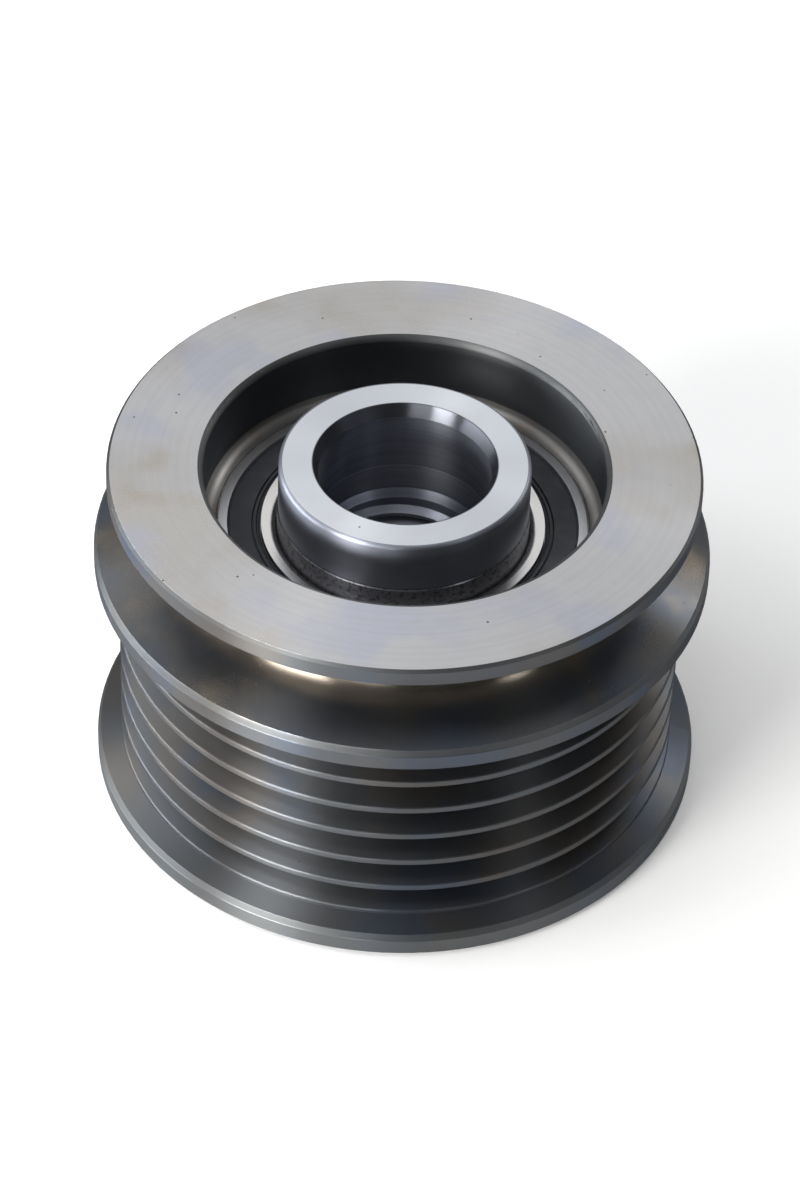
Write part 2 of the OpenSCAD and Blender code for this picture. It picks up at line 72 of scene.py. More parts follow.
def times(tree, first, second):
    return math_node(tree, "MULTIPLY", first, second)


def plus(tree, first, second):
    return math_node(tree, "ADD", first, second)


def opposite(tree, mask):
    return math_node(tree, "SUBTRACT", 1.0, mask)


def without(tree, mask, taken):
    """The mask with another mask cut out of it, never under 0."""
    return math_node(tree, "SUBTRACT", mask, taken, clamp=True)


def new_group(name, inputs, outputs):
    """Starts a shader group with number sockets and returns it with its two end nodes."""
    group = bpy.data.node_groups.new(name, "ShaderNodeTree")
    for label, value in inputs.items():
        socket = group.interface.new_socket(label, in_out="INPUT", socket_type="NodeSocketFloat")
        socket.default_value = value
    for label in outputs:
        group.interface.new_socket(label, in_out="OUTPUT", socket_type="NodeSocketFloat")
    return group, group.nodes.new("NodeGroupInput"), group.nodes.new("NodeGroupOutput")


def use_group(tree, group, **inputs):
    return place(tree, "Group", {"node_tree": group}, **inputs)


def make_turned_place():
    """Distance from the axis and height along it, in millimetres."""
    group, _, end = new_group("turned place", {}, ["Radius", "Height"])
    spot = place(group, "TexCoord").outputs["Object"]
    axes = place(group, "SeparateXYZ", i0=spot).outputs
    flat = place(group, "CombineXYZ", i0=axes[0], i1=axes[1]).outputs[0]
    reach = place(group, "VectorMath", {"operation": "LENGTH"}, i0=flat).outputs["Value"]
    group.links.new(math_node(group, "DIVIDE", reach, MM), end.inputs["Radius"])
    group.links.new(math_node(group, "DIVIDE", axes[2], MM), end.inputs["Height"])
    return group


turned_place = make_turned_place()


def make_turning_marks():
    """Rings left by the tool, every Spacing millimetres, broken up a little round the part."""
    inputs = {"Spacing": 0.3, "Breakup": 0.3}
    group, start, end = new_group("turning marks", inputs, ["Rings"])
    where = use_group(group, turned_place).outputs
    across = math_node(group, "DIVIDE", where["Radius"], start.outputs["Spacing"])
    along = math_node(group, "DIVIDE", where["Height"], start.outputs["Spacing"])
    ring_spot = place(group, "CombineXYZ", i0=across, i2=along).outputs[0]
    rings = place(group, "TexNoise", Vector=ring_spot, Scale=1.0, Detail=2.0).outputs[0]
    spot = place(group, "TexCoord").outputs["Object"]
    patches = place(group, "TexNoise", Vector=spot, Scale=450.0, Detail=1.0).outputs[0]
    mixed = place(group, "Mix", i0=start.outputs["Breakup"], i2=rings, i3=patches).outputs[0]
    group.links.new(mixed, end.inputs["Rings"])
    return group


turning_marks = make_turning_marks()


def make_stains():
    """Clouds of thin film about Size millimetres wide, from 0 on clean metal to 1."""
    inputs = {"Size": 8.0, "Cover": 0.5, "Softness": 0.25}
    group, start, end = new_group("film stains", inputs, ["Film"])
    spot = place(group, "TexCoord").outputs["Object"]
    scale = math_node(group, "DIVIDE", 1.0, times(group, start.outputs["Size"], MM))
    noise = place(group, "TexNoise", Vector=spot, Scale=scale, Detail=3.0, Roughness=0.42)
    low = opposite(group, start.outputs["Cover"])
    high = plus(group, low, start.outputs["Softness"])
    film = place(group, "MapRange", {"interpolation_type": "SMOOTHSTEP"},
                 i0=noise.outputs[0], i1=low, i2=high)
    group.links.new(film.outputs[0], end.inputs["Film"])
    return group


stains = make_stains()


def make_step():
    """Goes softly from 0 to 1 where Value passes Edge, over Width."""
    inputs = {"Value": 0.0, "Edge": 0.0, "Width": 0.1}
    group, start, end = new_group("soft step", inputs, ["Mask"])
    half = times(group, start.outputs["Width"], 0.5)
    low = math_node(group, "SUBTRACT", start.outputs["Edge"], half)
    high = plus(group, start.outputs["Edge"], half)
    step = place(group, "MapRange", {"interpolation_type": "SMOOTHSTEP"},
                 i0=start.outputs["Value"], i1=low, i2=high)
    group.links.new(step.outputs[0], end.inputs["Mask"])
    return group


soft_step = make_step()


def make_pits():
    """Small dark pits, about Spacing millimetres apart and Size across."""
    inputs = {"Spacing": 4.0, "Size": 0.2}
    group, start, end = new_group("pits", inputs, ["Pit"])
    spot = place(group, "TexCoord").outputs["Object"]
    scale = math_node(group, "DIVIDE", 1.0, times(group, start.outputs["Spacing"], MM))
    cells = place(group, "TexVoronoi", Vector=spot, Scale=scale)
    width = math_node(group, "DIVIDE", start.outputs["Size"], start.outputs["Spacing"])
    near = math_node(group, "LESS_THAN", cells.outputs["Distance"], times(group, width, 0.5))
    lot = place(group, "SeparateColor", i0=cells.outputs["Color"]).outputs[0]
    picked = math_node(group, "GREATER_THAN", lot, 0.6)
    group.links.new(times(group, near, picked), end.inputs["Pit"])
    return group


pits = make_pits()


def passed(tree, value, edge, width=0.1):
    """1 where the value is past the edge and 0 before it, with a soft change of that width."""
    return use_group(tree, soft_step, Value=value, Edge=edge, Width=width).outputs[0]


def between(tree, value, low, high, width=0.1):
    above_low = passed(tree, value, low, width)
    above_high = passed(tree, value, high, width)
    return math_node(tree, "SUBTRACT", above_low, above_high)


def mix_values(tree, share, first, second):
    return place(tree, "Mix", i0=share, i2=first, i3=second).outputs[0]


def paint(tree, base, mask, color, share=1.0):
    """Lays a colour over the base colour where the mask is, no thicker than share."""
    thickness = times(tree, mask, share)
    return place(tree, "Mix", {"data_type": "RGBA"}, i0=thickness, i6=base, i7=color).outputs[2]


def new_material(name, **values):
    """A material with its Principled BSDF, whose fixed values are set on its own sockets."""
    material = bpy.data.materials.new(name)
    material.use_nodes = True
    tree = material.node_tree
    shader = next(n for n in tree.nodes if n.type == "BSDF_PRINCIPLED")
    for label, value in values.items():
        shader.inputs[label.replace("_", " ")].default_value = value
    return material, tree, shader


def set_finish(tree, shader, color, roughness, relief=None, depth=0.0, strength=1.0):
    """Links the colour, the roughness and a relief of that depth in millimetres."""
    tree.links.new(color, shader.inputs["Base Color"])
    tree.links.new(roughness, shader.inputs["Roughness"])
    if relief is not None:
        bump = place(tree, "Bump", Height=relief, Distance=depth * MM, Strength=strength)
        tree.links.new(bump.outputs[0], shader.inputs["Normal"])


def dress(name, material):
    """Gives a CAD node its finish."""
    mesh = nodes[name].data
    mesh.materials.clear()
    mesh.materials.append(material)


def reach_of(name):
    """A CAD node's outer radius, lowest height and highest height, in millimetres."""
    low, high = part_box(name)
    return high.x / MM, low.z / MM, high.z / MM


SLEEVE_GROUND = (0.752, 0.779, 0.840, 1.0)
SLEEVE_FILM = (0.700, 0.700, 0.717, 1.0)
# The outer wall's colour is partly its unground finish and partly painted shade.
SLEEVE_SIDE_FINISH_AND_SHADE = (0.265, 0.280, 0.328, 1.0)
SLEEVE_PIT = (0.08, 0.08, 0.09, 1.0)
# The bore's colour is partly its unground finish and partly painted shade.
BORE_FINISH_AND_SHADE = (0.300, 0.315, 0.370, 1.0)
BORE_STREAK = (0.250, 0.263, 0.305, 1.0)
# Painted shade on the bore's lead-in.
BORE_LEAD_SHADE = (0.100, 0.105, 0.120, 1.0)
BORE_LINE = (0.75, 0.76, 0.80, 1.0)
FRETTED = (0.085, 0.075, 0.068, 1.0)
BORE_ROUGHNESS = 0.30
LOW_BORE_ROUGHNESS = 0.36
SLEEVE_SIDE_ROUGHNESS = 0.28
NOSE_EDGE_ROUGHNESS = 0.42

# Heights and radii in millimetres, where one finish ends and the next begins. CRISP is how
# wide a sharp change is.
CRISP = 0.04
SLEEVE_RADIUS, SLEEVE_BOTTOM, SLEEVE_TOP = reach_of("shaft_sleeve")
BEARING_TOP = reach_of("rear_bearing_outer_ring")[2]
OUTSIDE_RADIUS = mounts["shaft_pilot_bore"]["dims"]["r_mm"] + 0.65
NOSE_EDGE_RADIUS = SLEEVE_RADIUS - 0.47
GROUND_TOP_HEIGHT = SLEEVE_TOP - 0.07
GROUND_END_HEIGHT = SLEEVE_BOTTOM + 0.04
END_INNER_RADIUS = 10.3
END_OUTER_RADIUS = SLEEVE_RADIUS - 0.3
LEAD_HEIGHT = SLEEVE_TOP - 1.35
BORE_LINE_HEIGHT = SLEEVE_TOP - 7.65
NOSE_FOOT_HEIGHT = SLEEVE_TOP - 5.4
FRETTED_HEIGHT = BEARING_TOP - 1.15


def sleeve_zones(tree, radius, height):
    """Masks for the sleeve's outside, ground ends, nose foot, nose edge and bore."""
    outside = passed(tree, radius, OUTSIDE_RADIUS)
    past_edge = passed(tree, radius, NOSE_EDGE_RADIUS, CRISP)
    nose_end = times(tree, passed(tree, height, GROUND_TOP_HEIGHT, 1.5 * CRISP), outside)
    nose_end = without(tree, nose_end, past_edge)
    front_end = between(tree, radius, END_INNER_RADIUS, END_OUTER_RADIUS, CRISP)
    front_end = without(tree, front_end, passed(tree, height, GROUND_END_HEIGHT, CRISP))
    return {
        "outside": outside,
        "ground": math_node(tree, "MAXIMUM", nose_end, front_end),
        "foot": times(tree, between(tree, height, FRETTED_HEIGHT, NOSE_FOOT_HEIGHT), outside),
        "edge": times(tree, passed(tree, height, LEAD_HEIGHT, 1.5), past_edge),
        "lead": passed(tree, height, LEAD_HEIGHT),
        "line": between(tree, height, BORE_LINE_HEIGHT - CRISP, BORE_LINE_HEIGHT + CRISP, CRISP),
        "below_line": opposite(tree, passed(tree, height, BORE_LINE_HEIGHT)),
    }


def sleeve_color(tree, zone, rings, fretting):
    film = use_group(tree, stains, Size=5.0, Cover=0.48).outputs[0]
    pit = use_group(tree, pits, Spacing=1.9, Size=0.22).outputs[0]
    ground = paint(tree, SLEEVE_GROUND, film, SLEEVE_FILM, 0.7)
    ground = paint(tree, ground, rings, SLEEVE_SIDE_FINISH_AND_SHADE, 0.06)
    # The bore: partly its unground finish, partly painted shade.
    bore = paint(tree, BORE_FINISH_AND_SHADE, passed(tree, rings, 0.5, 0.3), BORE_STREAK)
    # Painted shade on the lead-in.
    bore = paint(tree, bore, zone["lead"], BORE_LEAD_SHADE)
    bore = paint(tree, bore, zone["line"], BORE_LINE, 0.5)
    # The outer wall: partly its unground finish, partly painted shade.
    side = paint(tree, SLEEVE_SIDE_FINISH_AND_SHADE, fretting, FRETTED)
    color = paint(tree, bore, zone["outside"], side)
    color = paint(tree, color, zone["ground"], ground)
    return paint(tree, color, times(tree, pit, zone["ground"]), SLEEVE_PIT)


def sleeve_roughness(tree, zone, rings, fretting):
    bore = mix_values(tree, zone["below_line"], BORE_ROUGHNESS, LOW_BORE_ROUGHNESS)
    roughness = mix_values(tree, zone["outside"], bore, SLEEVE_SIDE_ROUGHNESS)
    roughness = mix_values(tree, zone["edge"], roughness, NOSE_EDGE_ROUGHNESS)
    roughness = plus(tree, roughness, times(tree, fretting, 0.10))
    return plus(tree, roughness, times(tree, rings, 0.04))


def make_sleeve_steel():
    """Steel whose fine rings stretch each highlight across them."""
    material, tree, shader = new_material("ground sleeve steel", Metallic=1.0, Anisotropic=0.85,
                                          Anisotropic_Rotation=0.25)
    where = use_group(tree, turned_place).outputs
    zone = sleeve_zones(tree, where["Radius"], where["Height"])
    rings = use_group(tree, turning_marks, Spacing=0.35, Breakup=0.25).outputs[0]
    grain = use_group(tree, stains, Size=0.4, Cover=0.52, Softness=0.2).outputs[0]
    fretting = times(tree, zone["foot"], mix_values(tree, grain, 0.4, 0.9))
    color = sleeve_color(tree, zone, rings, fretting)
    roughness = sleeve_roughness(tree, zone, rings, fretting)
    relief = times(tree, rings, mix_values(tree, zone["outside"], 0.45, 0.0))
    set_finish(tree, shader, color, roughness, relief, depth=0.03, strength=0.6)
    return material


sleeve_steel = make_sleeve_steel()
dress("shaft_sleeve", sleeve_steel)


# Shaft thread: right-hand turns 1.5 mm apart, cut in the sleeve's steel between the pilot
# bore and the tool socket. The CAD wall is plain at the thread's major radius, so the
# ridges stand in from it.
THREAD_PITCH = 1.5 * MM
THREAD_MAJOR_R = mounts["shaft_thread"]["dims"]["r_mm"] * MM
THREAD_MINOR_R = 7.19 * MM
THREAD_TOP = 26.3 * MM
THREAD_BOTTOM = 14.6 * MM
THREAD_BURIED = 0.02 * MM
TURN_STEPS = 96
LEAST_RIDGE = 0.02
RISE_PER_TURN = 2.5


def thread_section(share):
    """The ridge's corners as (radius, height), lowered to nothing where share is 0."""
    crest_r = THREAD_MAJOR_R + (THREAD_MINOR_R - THREAD_MAJOR_R) * share
    base = THREAD_PITCH * (0.5 - 1 / 16)
    crest = THREAD_PITCH / 8 + (base - THREAD_PITCH / 8) * (1 - share)
    buried_r = THREAD_MAJOR_R + THREAD_BURIED
    return [(buried_r, -base), (crest_r, -crest), (crest_r, crest), (buried_r, base)]


def thread_shape():
    """Points and faces of the turns, which rise from the wall and sink back at the ends."""
    turns = (THREAD_TOP - THREAD_BOTTOM - THREAD_PITCH) / THREAD_PITCH
    steps = int(turns * TURN_STEPS)
    points = []
    for i in range(steps + 1):
        angle = 2 * math.pi * i / TURN_STEPS
        middle = THREAD_BOTTOM + THREAD_PITCH / 2 + THREAD_PITCH * i / TURN_STEPS
        from_start = LEAST_RIDGE + RISE_PER_TURN * i / TURN_STEPS
        from_end = LEAST_RIDGE + RISE_PER_TURN * (steps - i) / TURN_STEPS
        for radius, height in thread_section(min(1.0, from_start, from_end)):
            points.append((radius * math.cos(angle), radius * math.sin(angle), middle + height))
    faces = [(0, 1, 2, 3), tuple(len(points) - k for k in (1, 2, 3, 4))]
    for i in range(steps):
        for k in range(4):
            a, b = 4 * i + k, 4 * i + (k + 1) % 4
            faces.append((a, a + 4, b + 4, b))
    return points, faces


def make_thread():
    points, faces = thread_shape()
    mesh = bpy.data.meshes.new("shaft_thread")
    mesh.from_pydata(points, [], faces)
    mesh.validate()
    mesh.materials.append(sleeve_steel)
    thread = bpy.data.objects.new("shaft_thread", mesh)
    bpy.context.scene.collection.objects.link(thread)
    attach(thread, "hub")


make_thread()


# Bearing rings: through-hardened bearing steel with ground faces. The inner rings are
# pressed on the sleeve and the outer rings in the rim. The large bore corner of the inner
# ring is turned bright.
INNER_RING = (0.82, 0.81, 0.80, 1.0)
OUTER_RING = (0.66, 0.66, 0.68, 1.0)
INNER_RING_ROUGHNESS = 0.18
OUTER_RING_ROUGHNESS = 0.30
RING_GAP_RADIUS = 15.0


def make_ring_steel():
    material, tree, shader = new_material("ground bearing steel", Metallic=1.0)
    radius = use_group(tree, turned_place).outputs["Radius"]
    outer = passed(tree, radius, RING_GAP_RADIUS, 0.5)
    rings = use_group(tree, turning_marks, Spacing=0.14, Breakup=0.35).outputs[0]
    color = paint(tree, INNER_RING, outer, OUTER_RING)
    roughness = mix_values(tree, outer, INNER_RING_ROUGHNESS, OUTER_RING_ROUGHNESS)
    roughness = plus(tree, roughness, times(tree, rings, 0.12))
    set_finish(tree, shader, color, roughness, rings, depth=0.02, strength=0.35)
    return material


ring_steel = make_ring_steel()
for side in ("rear", "front"):
    dress(side + "_bearing_inner_ring", ring_steel)
    dress(side + "_bearing_outer_ring", ring_steel)


# Balls, rollers, clutch rings and springs: hardened steel, ground and lapped, and bright
# strip for the springs. The race is pressed in the rim and the cam ring on the sleeve. All
# of it runs in grease behind the seals, so the finish is even.
BALL = (0.80, 0.80, 0.82, 1.0)
ROLLER = (0.72, 0.73, 0.75, 1.0)
CLUTCH_RING = (0.50, 0.51, 0.54, 1.0)
SPRING = (0.66, 0.60, 0.48, 1.0)
GREASE_SHADE = 0.86


def make_lapped_steel(name, color, roughness):
    material, tree, shader = new_material(name, Metallic=1.0)
    grease = use_group(tree, stains, Size=1.5, Cover=0.5).outputs[0]
    greased = [channel * GREASE_SHADE for channel in color[:3]] + [1.0]
    set_finish(tree, shader, paint(tree, color, grease, greased),
               mix_values(tree, grease, roughness, roughness + 0.06))
    return material


ball_steel = make_lapped_steel("lapped ball steel", BALL, 0.08)
clutch_steel = make_lapped_steel("hardened clutch steel", CLUTCH_RING, 0.28)
dress("clutch_rollers", make_lapped_steel("ground roller steel", ROLLER, 0.14))
dress("clutch_outer_race", clutch_steel)
dress("clutch_cam_ring", clutch_steel)
dress("clutch_springs", make_lapped_steel("bright strip steel", SPRING, 0.22))
for side in ("rear", "front"):
    dress(side + "_bearing_balls", ball_steel)


# Cages: glass-filled polyamide, injection moulded, honey coloured and slightly waxy. The
# ball cages snap over the balls, and the clutch cage is keyed on the cam ring.
CAGE = (0.50, 0.39, 0.22, 1.0)
CAGE_FLOW = (0.40, 0.30, 0.16, 1.0)


def make_polyamide():
    material, tree, shader = new_material("moulded polyamide")
    flow = use_group(tree, stains, Size=2.5, Cover=0.6).outputs[0]
    spot = place(tree, "TexCoord").outputs["Object"]
    grain = place(tree, "TexNoise", Vector=spot, Scale=9000.0, Detail=2.0).outputs[0]
    color = paint(tree, CAGE, flow, CAGE_FLOW)
    roughness = mix_values(tree, flow, 0.42, 0.55)
    set_finish(tree, shader, color, roughness, grain, depth=0.01, strength=0.4)
    return material


polyamide = make_polyamide()
dress("clutch_cage", polyamide)
for side in ("rear", "front"):
    dress(side + "_bearing_cage", polyamide)


# Seals: nitrile rubber moulded on a steel disc, matt and blue-black. The bead snaps into
# the outer ring and the lips at the inner edge keep the grease in.
RUBBER = (0.028, 0.031, 0.040, 1.0)
RUBBER_BLOOM = (0.042, 0.045, 0.055, 1.0)
SEAL_CORE = (0.45, 0.45, 0.46, 1.0)


def make_seal_rubber():
    material, tree, shader = new_material("nitrile rubber", Specular_IOR_Level=0.55)
    spot = place(tree, "TexCoord").outputs["Object"]
    grain = place(tree, "TexNoise", Vector=spot, Scale=6000.0, Detail=3.0).outputs[0]
    bloom = use_group(tree, stains, Size=2.0, Cover=0.55).outputs[0]
    color = paint(tree, RUBBER, bloom, RUBBER_BLOOM)
    roughness = mix_values(tree, grain, 0.48, 0.62)
    set_finish(tree, shader, color, roughness, grain, depth=0.02, strength=0.5)
    return material


seal_rubber = make_seal_rubber()
core_steel = make_lapped_steel("pressed sheet steel", SEAL_CORE, 0.35)
for seal in ("rear_bearing_rear_seal", "rear_bearing_clutch_seal",
             "front_bearing_front_seal", "front_bearing_clutch_seal"):
    dress(seal, seal_rubber)
    dress(seal + "_core", core_steel)


# Pulley rim: low-carbon steel turned from bar, with the bearings and the clutch race
# pressed in. The faces are finely turned, the belt grooves are cut with form tools, and a
# thin film of oil and handling marks clouds them. Its sides and its well are painted far
# darker than its rear face, as painted shade.
RIM_FACE = (0.615, 0.616, 0.632, 1.0)
FACE_BROWN = (0.520, 0.476, 0.415, 1.0)
FACE_BLUE = (0.525, 0.546, 0.674, 1.0)
TOOL_SHADE = (0.46, 0.46, 0.465, 1.0)
# Painted shade: the sides are painted far darker than the face.
RIM_SIDE_SHADED = (0.104, 0.109, 0.116, 1.0)
SIDE_BROWN = (0.140, 0.116, 0.092, 1.0)
SIDE_BLUE = (0.090, 0.106, 0.138, 1.0)
GROOVE_GOLD = (0.204, 0.178, 0.145, 1.0)
# Painted shade in the well.
WELL_WALL_SHADED = (0.098, 0.102, 0.108, 1.0)
# Painted highlight: the bearing shoulder is painted paler than the well.
SHOULDER_HIGHLIGHT = (0.298, 0.289, 0.280, 1.0)
SHOULDER_BROWN = (0.250, 0.205, 0.160, 1.0)
# Paler steel for the edges, partly wear and partly painted highlight, and for the front land as
# painted highlight.
WORN_EDGE_AND_HIGHLIGHT = (0.180, 0.187, 0.186, 1.0)
RIM_PIT = (0.088, 0.079, 0.070, 1.0)
GRAZING_TINT = (0.28, 0.29, 0.32, 1.0)
FACE_ROUGHNESS = 0.22
SIDE_ROUGHNESS = 0.33
GROOVE_ROUGHNESS = 0.20
EDGE_ROUGHNESS = 0.55

# Heights and radii in millimetres, where one finish ends and the next begins. The well and
# the recess for the front cap have the same radius.
RIM_RADIUS, RIM_BOTTOM, RIM_TOP = reach_of("pulley_rim")
WELL_RADIUS = mounts["front_cap_seat"]["dims"]["r_mm"]
REAR_FLANGE_RADIUS = mounts["v_belt_groove"]["dims"]["r_mm"]
VEE_HEIGHT = mounts["v_belt_groove"]["pos_m"][2] / MM
FACE_HEIGHT = RIM_TOP - 0.5
FACE_INNER_RADIUS = WELL_RADIUS + 0.5
FACE_OUTER_RADIUS = REAR_FLANGE_RADIUS - 0.3
FRONT_FACE_HEIGHT = RIM_BOTTOM + 0.04
FRONT_INNER_RADIUS = WELL_RADIUS + 0.3
FRONT_OUTER_RADIUS = RIM_RADIUS - 0.6
FRONT_LAND_HEIGHT = RIM_BOTTOM + 2.4
INSIDE_RADIUS = WELL_RADIUS + 0.6
SHOULDER_HEIGHT = BEARING_TOP + 0.95
VEE_BOTTOM = VEE_HEIGHT - 4.15
VEE_TOP = VEE_HEIGHT + 3.55
VEE_GOLD_RADIUS = REAR_FLANGE_RADIUS - 3.8
LAND_RADIUS = RIM_RADIUS - 0.05
FLANGE_EDGE_RADIUS = RIM_RADIUS - 0.33
REAR_EDGE_HEIGHT = RIM_TOP - 0.3
MOUTH_HEIGHT = RIM_TOP - 0.6


def face_zone(tree, radius, height):
    """Mask for the flat rear face and the flat front face."""
    rear = times(tree, passed(tree, height, FACE_HEIGHT),
                 between(tree, radius, FACE_INNER_RADIUS, FACE_OUTER_RADIUS, CRISP))
    front = without(tree, between(tree, radius, FRONT_INNER_RADIUS, FRONT_OUTER_RADIUS, CRISP),
                    passed(tree, height, FRONT_FACE_HEIGHT, CRISP))
    return math_node(tree, "MAXIMUM", rear, front)


def edge_zone(tree, radius, height):
    """Mask for the edges painted paler, partly for wear and partly as painted highlight: the
    flange corners, the rear chamfer and the mouth of the well.
    """
    flanges = between(tree, radius, FLANGE_EDGE_RADIUS, LAND_RADIUS, 0.05)
    chamfer = times(tree, passed(tree, height, REAR_EDGE_HEIGHT, CRISP),
                    passed(tree, radius, FACE_OUTER_RADIUS, CRISP))
    mouth = times(tree, passed(tree, height, MOUTH_HEIGHT),
                  opposite(tree, passed(tree, radius, FACE_INNER_RADIUS)))
    return plus(tree, plus(tree, flanges, chamfer), mouth)


def rim_zones(tree, radius, height):
    """Masks for the rim's faces, edges, V groove, well and bearing shoulder."""
    inside = opposite(tree, passed(tree, radius, INSIDE_RADIUS))
    below_land_top = opposite(tree, passed(tree, height, FRONT_LAND_HEIGHT))
    return {
        "face": face_zone(tree, radius, height),
        "edge": edge_zone(tree, radius, height),
        "groove": times(tree, between(tree, height, VEE_BOTTOM, VEE_TOP),
                        between(tree, radius, INSIDE_RADIUS, LAND_RADIUS)),
        "groove_bottom": opposite(tree, passed(tree, radius, VEE_GOLD_RADIUS, 2.0)),
        "inside": inside,
        "shoulder": without(tree, inside, passed(tree, height, SHOULDER_HEIGHT)),
        "front_land": times(tree, below_land_top, passed(tree, radius, LAND_RADIUS)),
    }


def rim_marks(tree):
    """Masks for what the lathe and the years left on the rim."""
    return {
        "rings": use_group(tree, turning_marks, Spacing=0.16, Breakup=0.5).outputs[0],
        "grain": use_group(tree, stains, Size=0.7, Cover=0.6, Softness=0.5).outputs[0],
        "brown": use_group(tree, stains, Size=14.0, Cover=0.54, Softness=0.2).outputs[0],
        "haze": use_group(tree, stains, Size=5.0, Cover=0.5, Softness=0.3).outputs[0],
        "blue": use_group(tree, stains, Size=9.0, Cover=0.50, Softness=0.2).outputs[0],
        "pit": use_group(tree, pits, Spacing=2.2, Size=0.26).outputs[0],
    }


def face_color(tree, marks):
    """Grey steel with brown and blue films and the arcs of the facing tool."""
    tool = use_group(tree, turning_marks, Spacing=0.45, Breakup=0.35).outputs[0]
    brown = times(tree, marks["brown"], mix_values(tree, marks["haze"], 0.45, 1.0))
    color = paint(tree, RIM_FACE, brown, FACE_BROWN)
    color = paint(tree, color, marks["blue"], FACE_BLUE, 0.6)
    return paint(tree, color, passed(tree, tool, 0.5, 0.3), TOOL_SHADE, 0.16)


def side_color(tree, zone, marks):
    """Painted shade round the rim and in the well, a golden film in the V groove, painted
    highlights on the bearing shoulder and the front land, and edges paler partly from wear
    and partly as painted highlight.
    """
    # Painted shade: the dark base colour of the rim's sides.
    color = paint(tree, RIM_SIDE_SHADED, marks["brown"], SIDE_BROWN, 0.4)
    color = paint(tree, color, marks["blue"], SIDE_BLUE, 0.8)
    golden = math_node(tree, "MAXIMUM", zone["groove_bottom"], times(tree, marks["haze"], 0.8))
    color = paint(tree, color, times(tree, zone["groove"], golden), GROOVE_GOLD)
    # Painted shade on the well wall.
    color = paint(tree, color, zone["inside"], WELL_WALL_SHADED)
    # Painted highlight on the bearing shoulder, under a brown film.
    shoulder = paint(tree, SHOULDER_HIGHLIGHT, marks["haze"], SHOULDER_BROWN, 0.8)
    color = paint(tree, color, zone["shoulder"], shoulder)
    # Painted highlight on the front land.
    color = paint(tree, color, zone["front_land"], WORN_EDGE_AND_HIGHLIGHT, 0.5)
    # Edges paler, partly from wear and partly as painted highlight.
    return paint(tree, color, zone["edge"], WORN_EDGE_AND_HIGHLIGHT, 0.5)


def rim_roughness(tree, zone, marks):
    side = mix_values(tree, zone["groove"], SIDE_ROUGHNESS, GROOVE_ROUGHNESS)
    roughness = mix_values(tree, zone["face"], side, FACE_ROUGHNESS)
    roughness = mix_values(tree, times(tree, zone["edge"], 0.8), roughness, EDGE_ROUGHNESS)
    cloudy = plus(tree, times(tree, marks["brown"], 0.04), times(tree, marks["grain"], 0.02))
    ringed = times(tree, marks["rings"], mix_values(tree, zone["face"], 0.08, 0.03))
    return plus(tree, plus(tree, roughness, cloudy), ringed)


def make_rim_steel():
    """Turned steel that stretches highlights across its rings and stays dark at a graze."""
    material, tree, shader = new_material("turned rim steel", Metallic=1.0, Anisotropic=0.9,
                                          Anisotropic_Rotation=0.25, Specular_Tint=GRAZING_TINT)
    where = use_group(tree, turned_place).outputs
    zone = rim_zones(tree, where["Radius"], where["Height"])
    marks = rim_marks(tree)
    color = paint(tree, side_color(tree, zone, marks), zone["face"], face_color(tree, marks))
    color = paint(tree, color, marks["pit"], RIM_PIT, 0.8)
    ring_relief = times(tree, marks["rings"], mix_values(tree, zone["face"], 1.0, 0.25))
    relief = math_node(tree, "SUBTRACT", ring_relief, marks["pit"])
    roughness = rim_roughness(tree, zone, marks)
    set_finish(tree, shader, color, roughness, relief, depth=0.004, strength=0.3)
    return material


dress("pulley_rim", make_rim_steel())


# Studio: the part stands on a white floor under soft lamps, seen from the photograph's
# viewing angle. The room is bright behind and to the left, and dim on the right.
FLOOR_HALF = 3.0
FLOOR_WHITE = (0.94, 0.94, 0.94, 1.0)
FLOOR_GLOW = 0.12
ROOM_BRIGHT_SIDE = (-0.60, 0.45, 0.66)
ROOM_DIM = 0.03
ROOM_BRIGHT = 0.43
HORIZON_GLOW = 0.32
NEUTRAL = (1.0, 1.0, 1.0)
WARM_WHITE = (1.0, 0.995, 0.985)
WARM = (1.0, 0.985, 0.96)
COOL_WHITE = (0.98, 0.99, 1.0)
COOL = (0.97, 0.985, 1.0)
SKY = (0.94, 0.97, 1.0)
FOCAL_PIXELS = 4530.8
PHOTO_LONG_SIDE = 1200.0
SENSOR = 36.0
CAMERA_PLACE = Vector((0.0, -334.48, RIM_TOP + 290.42)) * MM
CAMERA_PITCH = math.radians(42.667)
CAMERA_ROLL = math.radians(2.226)


def make_floor():
    """A floor that keeps the part's shadow and looks white to the camera and in metal."""
    mesh = bpy.data.meshes.new("floor")
    corners = [(x * FLOOR_HALF, y * FLOOR_HALF, 0) for x, y in ((-1, -1), (1, -1), (1, 1), (-1, 1))]
    mesh.from_pydata(corners, [], [(0, 1, 2, 3)])
    floor = bpy.data.objects.new("floor", mesh)
    bpy.context.scene.collection.objects.link(floor)
    material, tree, shader = new_material("white floor", Base_Color=FLOOR_WHITE, Roughness=0.9,
                                          Specular_IOR_Level=0.0, Emission_Color=NEUTRAL + (1.0,))
    rays = place(tree, "LightPath").outputs
    seen = math_node(tree, "MAXIMUM", rays["Is Camera Ray"], rays["Is Glossy Ray"])
    seen = math_node(tree, "MAXIMUM", seen, rays["Is Transmission Ray"])
    tree.links.new(times(tree, seen, FLOOR_GLOW), shader.inputs["Emission Strength"])
    mesh.materials.append(material)


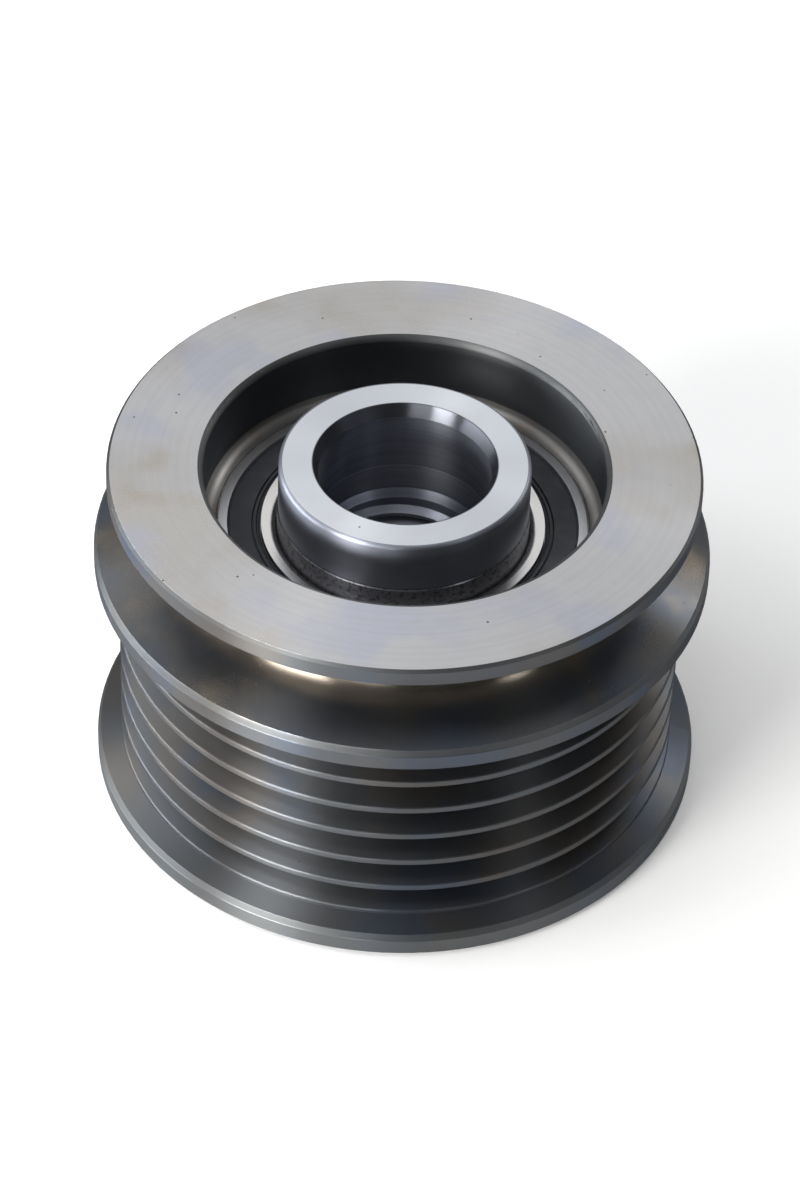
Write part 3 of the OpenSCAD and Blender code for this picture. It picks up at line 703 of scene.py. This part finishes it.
def make_room():
    """Soft light from everywhere, strongest from one side, with a paler band at the horizon."""
    world = bpy.data.worlds.new("soft room")
    bpy.context.scene.world = world
    world.use_nodes = True
    tree = world.node_tree
    background = next(n for n in tree.nodes if n.type == "BACKGROUND")
    way = place(tree, "TexCoord").outputs["Generated"]
    toward = place(tree, "VectorMath", {"operation": "DOT_PRODUCT"}, i0=way, i1=ROOM_BRIGHT_SIDE)
    level = place(tree, "MapRange", {"interpolation_type": "SMOOTHSTEP"},
                  i0=toward.outputs["Value"], i1=-0.2, i2=0.95, i3=ROOM_DIM, i4=ROOM_BRIGHT)
    up = place(tree, "SeparateXYZ", i0=way).outputs[2]
    horizon = place(tree, "MapRange", {"interpolation_type": "SMOOTHSTEP"},
                    i0=up, i1=0.55, i2=0.05, i3=0.0, i4=HORIZON_GLOW)
    brightness = math_node(tree, "MAXIMUM", level.outputs[0], horizon.outputs[0])
    background.inputs["Color"].default_value = COOL_WHITE + (1.0,)
    tree.links.new(brightness, background.inputs["Strength"])


def make_lamp(name, azimuth, elevation, distance, size, radiance, color):
    """A soft box that faces the part. Angles are in degrees and lengths in metres."""
    data = bpy.data.lights.new(name, "AREA")
    data.shape = "RECTANGLE"
    data.size, data.size_y = size
    data.energy = radiance * math.pi * size[0] * size[1]
    data.color = color
    lamp = bpy.data.objects.new(name, data)
    bpy.context.scene.collection.objects.link(lamp)
    around, up = math.radians(azimuth), math.radians(elevation)
    away = Vector((math.cos(around) * math.cos(up), math.sin(around) * math.cos(up), math.sin(up)))
    lamp.location = away * distance
    lamp.rotation_euler = away.to_track_quat("Z", "Y").to_euler()
    lamp.visible_camera = False


def make_camera():
    """The photograph's camera: its place, its pitch, its slight roll and its long lens."""
    data = bpy.data.cameras.new("camera")
    data.sensor_width = SENSOR
    data.lens = FOCAL_PIXELS / PHOTO_LONG_SIDE * SENSOR
    data.clip_start = 0.01
    camera = bpy.data.objects.new("camera", data)
    bpy.context.scene.collection.objects.link(camera)
    forward = Vector((0.0, math.cos(CAMERA_PITCH), -math.sin(CAMERA_PITCH)))
    level_right = Vector((1.0, 0.0, 0.0))
    level_up = level_right.cross(forward)
    right = math.cos(CAMERA_ROLL) * level_right + math.sin(CAMERA_ROLL) * level_up
    up = right.cross(forward)
    turn = Matrix((right, up, -forward)).transposed().to_4x4()
    camera.matrix_world = Matrix.Translation(CAMERA_PLACE) @ turn
    bpy.context.scene.camera = camera


make_floor()
make_room()
make_lamp("back panel", 92, 45, 0.9, (2.1, 0.9), 0.39, WARM_WHITE)
make_lamp("top panel", 150, 84, 0.9, (0.8, 0.8), 0.57, NEUTRAL)
make_lamp("left box", 165, 28, 0.2, (0.16, 0.12), 1.32, COOL_WHITE)
make_lamp("left low panel", 176, 9, 0.8, (0.8, 0.2), 15.5, SKY)
make_lamp("left strip", 228, 8, 0.8, (0.34, 0.20), 32.5, WARM)
make_lamp("left window", 226, 33, 0.8, (0.32, 0.25), 11.6, WARM)
make_lamp("high strip", 207, 60, 0.8, (0.16, 0.16), 6.4, NEUTRAL)
make_lamp("high right strip", 325, 42, 0.8, (0.12, 0.14), 5.5, COOL)
make_lamp("right window", 42, 34, 0.8, (0.2, 0.2), 4.5, WARM)
make_lamp("front fill", 256, 10, 0.8, (0.3, 0.2), 6.6, NEUTRAL)
make_camera()
bpy.context.scene.view_settings.view_transform = "Standard"
